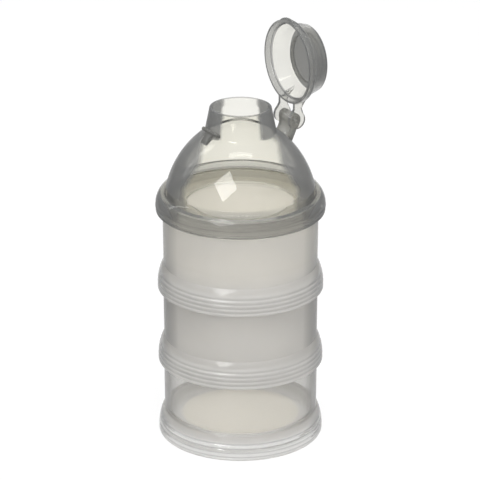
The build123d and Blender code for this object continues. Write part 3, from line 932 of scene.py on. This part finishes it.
def cap_shade_layer(t):
    """Painted shade where the cap's disc turns away to the sides, in its outer ring and on the step inside
    its mouth; the cap's axis lies along X while it is open.
    """
    place = t.place()
    rise = t.math("SUBTRACT", place["Z"], CAP_AXIS_Z * MM)
    out = t.length(Y=place["Y"], Z=rise)
    disc = t.ramp(t.sideways(), *CAP_SIDE, *CAP_SIDE_SHADE)
    ring = t.fade(out, CAP_RING_R, 0.0, CAP_RING_SHADE)
    step = t.times(t.fade(out, CAP_RING_R, 1.0, 0.0), t.fade(out, CAP_MOUTH_R, 0.0, 1.0))
    step = t.times(step, t.fade(place["X"], CAP_MOUTH_NEAR, 0.0, 1.0))
    step = t.times(step, t.fade(place["X"], CAP_MOUTH_FAR, 1.0, 0.0))
    ring = t.most(ring, t.times(step, CAP_MOUTH_SHADE))
    return t.most(disc, t.times(ring, t.fade(rise, CAP_RING_FOOT, 0.0, 1.0)))


def soft_seal():
    t = Tree("soft_seal")
    """Pale silicone-like rubber, nearly matte."""
    cloud = t.noise(scale=90, detail=3)
    tone = t.mix(cloud, *SEAL_TONES)
    rough = t.ramp(t.noise(scale=600, detail=4), 0.3, 0.7, *SEAL_ROUGH)
    bump = t.bump(t.noise(scale=1500, detail=3), strength=0.1, distance=0.0002)
    body = t.add(
        "ShaderNodeBsdfPrincipled",
        **{
            "Base Color": tone,
            "Roughness": rough,
            "IOR": SEAL_IOR,
            "Transmission Weight": 0.35,
            "Normal": bump,
        },
    )
    t.put(t.output.inputs["Surface"], body.outputs[0])
    return t.material


def pale_floor():
    """Pale floor that the camera sees white, and that lights and shows through the object like a lit
    sweep: brightest in line with the camera, greyer to the sides."""
    t = Tree("pale_floor")
    matte = t.add("ShaderNodeBsdfDiffuse", Color=t.mix(t.noise(scale=6, detail=2), *FLOOR_TONES))
    here = t.add("ShaderNodeNewGeometry").outputs["Position"]
    path = t.add("ShaderNodeLightPath").outputs
    aside = t.math("ABSOLUTE", t.vector("DOT_PRODUCT", here, RIGHT))
    sweep = t.ramp(aside, SWEEP_HALF, SWEEP_END, 1.0, SWEEP_SIDE)
    sweep = t.times(sweep, t.fade(t.vector("LENGTH", here), (SKIRT_R, 2 * SKIRT_R), UNDER_SHADE, 1.0))
    sweep = t.times(sweep, t.ramp(path["Is Diffuse Ray"], 0, 1, 1.0, FLOOR_BOUNCE))
    lit = t.most(sweep, path["Is Camera Ray"])
    glow = t.add("ShaderNodeEmission", Color=(1, 1, 1), Strength=lit)
    t.put(t.output.inputs["Surface"], t.blend(GLOW_SHARE, matte, glow).outputs[0])
    return t.material


def paint(obj, *materials):
    obj.data.materials.clear()
    for material in materials:
        obj.data.materials.append(material)


# ---- build ---------------------------------------------------------------------------------------
FROSTED = frosted_plastic()
CLEAR = clear_plastic("clear_grey_lid", lid_shade_layer, SHADE_GREYS, LID_IOR, shelf_edge)
CLEAR_SOLID = clear_plastic("clear_grey_solid", solid_shade_layer, SOLID_SHADE_GREYS, CAP_IOR)
CLEAR_CAP = clear_plastic("clear_grey_cap", cap_shade_layer, SHADE_GREYS, CAP_IOR)
SEAL = soft_seal()

CUP_BODIES = ("base", "cup_2", "cup_3")
for level, body in enumerate(CUP_BODIES):
    node = f"container_{level + 1}"
    low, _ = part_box(node)
    piece = cup(f"cup_{level + 1}", low.z / MM)
    paint(piece, FROSTED)
    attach(piece, body)
    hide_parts(node)

lid_piece = lid("pouring_lid")
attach(lid_piece, "lid")
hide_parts("dome_lid")

paint(NODES["flip_cap"], CLEAR_CAP)
for level in range(4):
    paint(NODES[f"seal_ring_{level + 1}"], SEAL)


# ---- studio --------------------------------------------------------------------------------------
def add_camera():
    data = bpy.data.cameras.new("camera")
    data.lens = LENS
    data.sensor_width = SENSOR
    data.clip_end = CLIP_END
    data.shift_x = SHIFT_X
    obj = bpy.data.objects.new("camera", data)
    bpy.context.scene.collection.objects.link(obj)
    away = direction(CAMERA_AZIMUTH, CAMERA_ELEVATION)
    obj.location = LOOK_AT + away * CAMERA_DISTANCE
    obj.rotation_euler = away.to_track_quat("Z", "Y").to_euler()
    bpy.context.scene.camera = obj


def add_softbox(name, azimuth, elevation, size, power, height=None, turn=0.0, mirrored=True, matte=True):
    """An area light aimed at the object, its azimuth counted from the camera's. A mirrored one is seen in
    and through glossy surfaces, and a matte one lights matte surfaces."""
    data = bpy.data.lights.new(name, "AREA")
    data.shape = "RECTANGLE"
    data.size = size
    data.size_y = height or size
    data.energy = power
    data.color = LIGHT_TONE
    obj = bpy.data.objects.new(name, data)
    bpy.context.scene.collection.objects.link(obj)
    away = direction(CAMERA_AZIMUTH + azimuth, elevation)
    obj.location = LOOK_AT + away * LIGHT_DISTANCE
    aim = away.to_track_quat("Z", "Y").to_matrix().to_4x4()
    obj.rotation_euler = (aim @ Matrix.Rotation(radians(turn), 4, "Z")).to_euler()
    obj.visible_glossy = mirrored
    obj.visible_transmission = mirrored
    obj.visible_diffuse = matte


def add_floor():
    bm = bmesh.new()
    corners = FLOOR_CELLS + 1
    for i in range(corners):
        for j in range(corners):
            x = FLOOR_HALF * (2 * i / FLOOR_CELLS - 1)
            y = FLOOR_HALF * (2 * j / FLOOR_CELLS - 1)
            bm.verts.new((x, y, 0))
    bm.verts.ensure_lookup_table()
    for i in range(FLOOR_CELLS):
        for j in range(FLOOR_CELLS):
            k = i * corners + j
            bm.faces.new([bm.verts[n] for n in (k, k + corners, k + corners + 1, k + 1)])
    floor = mesh_object("floor", bm)
    paint(floor, pale_floor())


def add_world():
    """Bright above and behind the object, greyer to the sides, so that clear edges read dark."""
    world = bpy.data.worlds.new("studio")
    world.use_nodes = True
    tree = world.node_tree
    tree.nodes.clear()
    out = tree.nodes.new("ShaderNodeOutputWorld")
    back = tree.nodes.new("ShaderNodeBackground")
    where = tree.nodes.new("ShaderNodeTexCoord")
    side = tree.nodes.new("ShaderNodeVectorMath")
    side.operation = "DOT_PRODUCT"
    side.inputs[1].default_value = RIGHT
    size = tree.nodes.new("ShaderNodeMath")
    size.operation = "ABSOLUTE"
    ramp = tree.nodes.new("ShaderNodeMapRange")
    for i, value in enumerate((*WORLD_SIDE, *WORLD_LIGHT)):
        ramp.inputs[i + 1].default_value = value
    link = tree.links.new
    link(where.outputs["Generated"], side.inputs[0])
    link(side.outputs["Value"], size.inputs[0])
    link(size.outputs[0], ramp.inputs[0])
    link(ramp.outputs[0], back.inputs["Strength"])
    link(back.outputs[0], out.inputs["Surface"])
    bpy.context.scene.world = world


add_camera()
add_floor()
add_world()
add_softbox("key_softbox", azimuth=-27.5, elevation=34.0, size=0.6, power=9.0, turn=45.0, matte=False)
add_softbox("front_softbox", azimuth=12.0, elevation=30.0, size=0.6, power=6.5, mirrored=False)
add_softbox("top_softbox", azimuth=0.0, elevation=78.0, size=0.6, power=14.0, mirrored=False)
add_softbox("top_strip", azimuth=0.0, elevation=74.0, size=0.8, power=1.5, height=0.12)
add_softbox("left_strip", azimuth=-112.0, elevation=30.0, size=0.12, power=1.5, height=0.9)

scene = bpy.context.scene
scene.view_settings.view_transform = "Standard"
scene.cycles.max_bounces = MAX_BOUNCES
scene.cycles.transmission_bounces = MAX_BOUNCES
scene.cycles.transparent_max_bounces = MAX_BOUNCES
